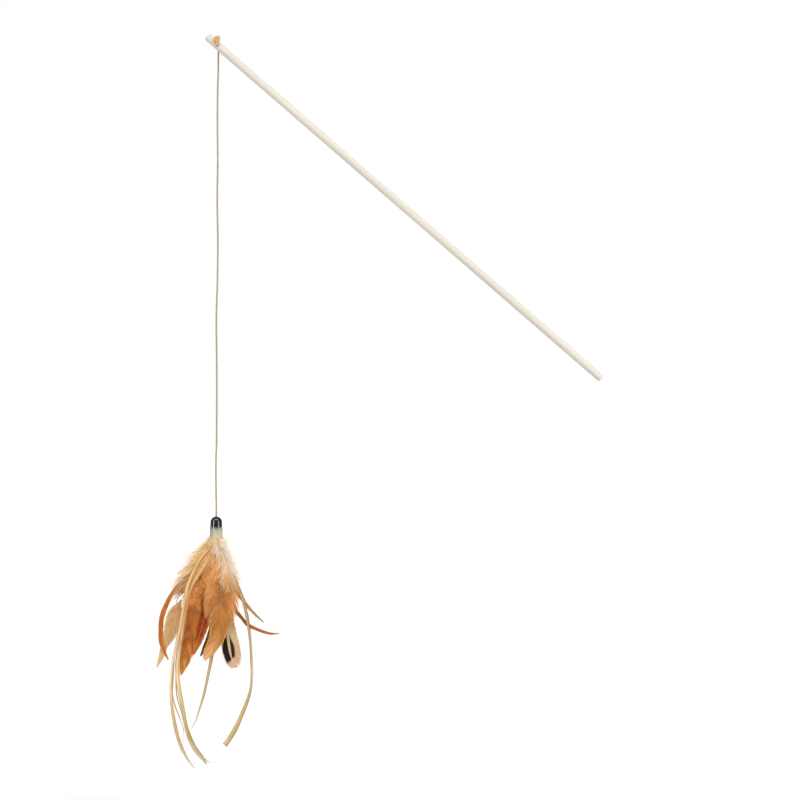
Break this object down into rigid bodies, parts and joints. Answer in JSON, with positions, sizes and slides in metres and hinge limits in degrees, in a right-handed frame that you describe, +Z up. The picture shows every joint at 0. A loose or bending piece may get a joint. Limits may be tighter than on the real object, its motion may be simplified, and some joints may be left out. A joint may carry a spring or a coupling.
{
  "type": "cat teaser wand",
  "caption": "Wooden dowel wand with twine hanging from a cross hole at its tip, and a lure of feathers and raffia strips under a small bell cap.",
  "frame": {"origin": "centre of the rod's square-cut butt end", "axes": "+Z up with the wand held in use; the rod runs from the origin towards -X and +Z, 49.3 degrees from upright; the lure hangs straight down and +Y points away from the knot's side"},
  "size_m": [0.3438, 0.0311, 0.5628],
  "materials": {
    "birch": "satin",
    "twine": "matte",
    "black_cap": "gloss",
    "glue": "matte",
    "binding_thread": "matte",
    "brown_feather": "satin",
    "peach_feather": "satin",
    "tan_feather": "satin",
    "copper_feather": "satin",
    "rust_feather": "satin",
    "black_tan_feather": "satin",
    "cream_feather": "matte",
    "golden_feather": "satin",
    "raffia": "satin"
  },
  "bodies": {
    "rod": {"rod": "birch", "stopper_knot": "twine"},
    "string_neck": {"string_neck": "twine"},
    "string": {"string_upper": "twine"},
    "string_end": {"string_lower": "twine"},
    "lure": {"cap_knot": "twine", "end_cap": "black_cap", "glue_plug": "glue", "quill_binding": "binding_thread", "left_hackle_feather": "brown_feather", "left_peach_feather": "peach_feather", "left_tan_feather": "tan_feather", "left_copper_feather": "copper_feather", "rust_feather": "rust_feather", "slim_feather": "brown_feather", "middle_copper_feather": "copper_feather", "black_tan_feather": "black_tan_feather", "cream_feather": "cream_feather", "right_hackle_feather": "brown_feather", "right_dark_feather": "tan_feather", "golden_feather": "golden_feather", "downy_feather": "cream_feather", "outer_left_raffia": "raffia", "inner_left_raffia": "raffia", "thin_left_raffia": "raffia", "fine_left_raffia": "raffia", "middle_raffia": "raffia", "right_raffia": "raffia"}
  },
  "joints": [
    {"name": "string_swing", "type": "hinge", "parent": "rod", "child": "string_neck", "pos_m": [-0.29529, 0, 0.25399], "axis": [0, 1, 0], "range_deg": [-25, 110]},
    {"name": "string_sweep", "type": "hinge", "parent": "string_neck", "child": "string", "pos_m": [-0.29529, 0.0061, 0.24199], "axis": [1, 0, 0], "range_deg": [-70, 70]},
    {"name": "lure_twist", "type": "hinge", "parent": "string", "child": "string_end", "pos_m": [-0.29529, 0.0061, -0.04601], "axis": [0, 0, 1], "range_deg": [-180, 180]},
    {"name": "lure_swing", "type": "hinge", "parent": "string_end", "child": "lure", "pos_m": [-0.29529, 0.0061, -0.10586], "axis": [0, 1, 0], "range_deg": [-45, 45]}
  ]
}
